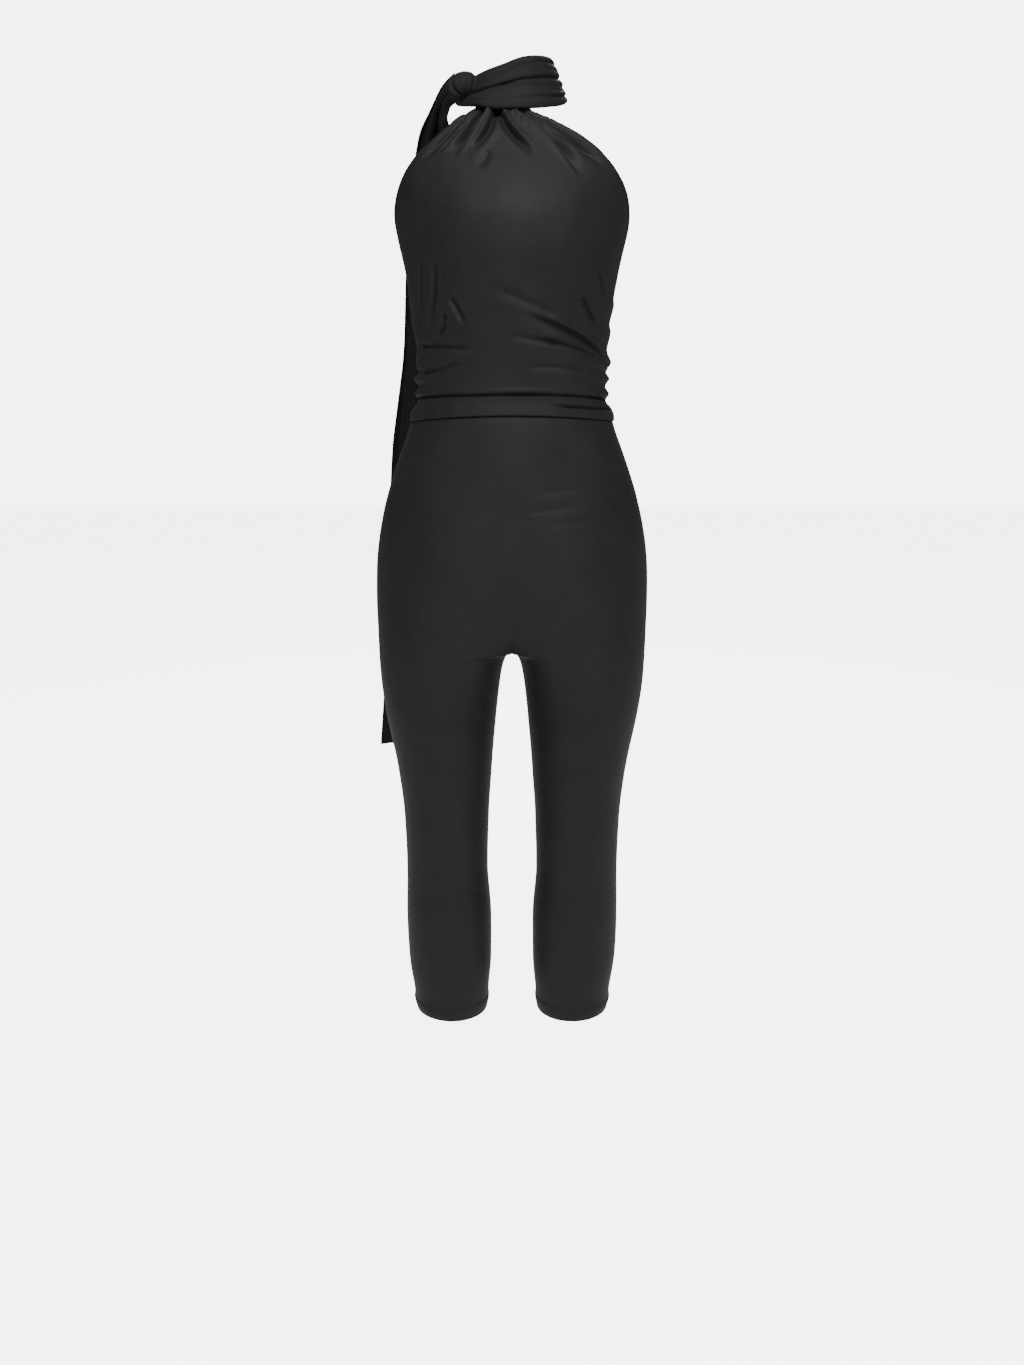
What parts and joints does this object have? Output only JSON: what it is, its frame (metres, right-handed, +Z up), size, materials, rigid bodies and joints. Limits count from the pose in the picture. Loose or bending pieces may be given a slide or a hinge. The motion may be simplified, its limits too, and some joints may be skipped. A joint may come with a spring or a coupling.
{
  "type": "halter-neck capri jumpsuit, in its worn form",
  "caption": "Sleeveless halter-neck capri jumpsuit of stretch jersey: gathered front, bloused waist, open back, and a wound scarf collar knotted at the side with a long hanging end.",
  "frame": {"origin": "middle of the neck opening, half way up the wound scarf, where the wearer's neck holds the garment up", "axes": "+Z up along the body, +X to the wearer's left, -Y to the front"},
  "size_m": [0.354, 0.2581, 1.183],
  "materials": {
    "jersey": "black stretch jersey, matt with a faint sheen",
    "scarf_jersey": "black stretch jersey, matt with a faint sheen"
  },
  "bodies": {
    "root": {"bodice_front": "jersey", "back_waist": "jersey", "trouser_front_left": "jersey", "trouser_back_left": "jersey", "trouser_front_right": "jersey", "trouser_back_right": "jersey", "neck_scarf": "scarf_jersey", "neck_knot": "scarf_jersey", "neck_tail": "scarf_jersey"}
  },
  "joints": []
}
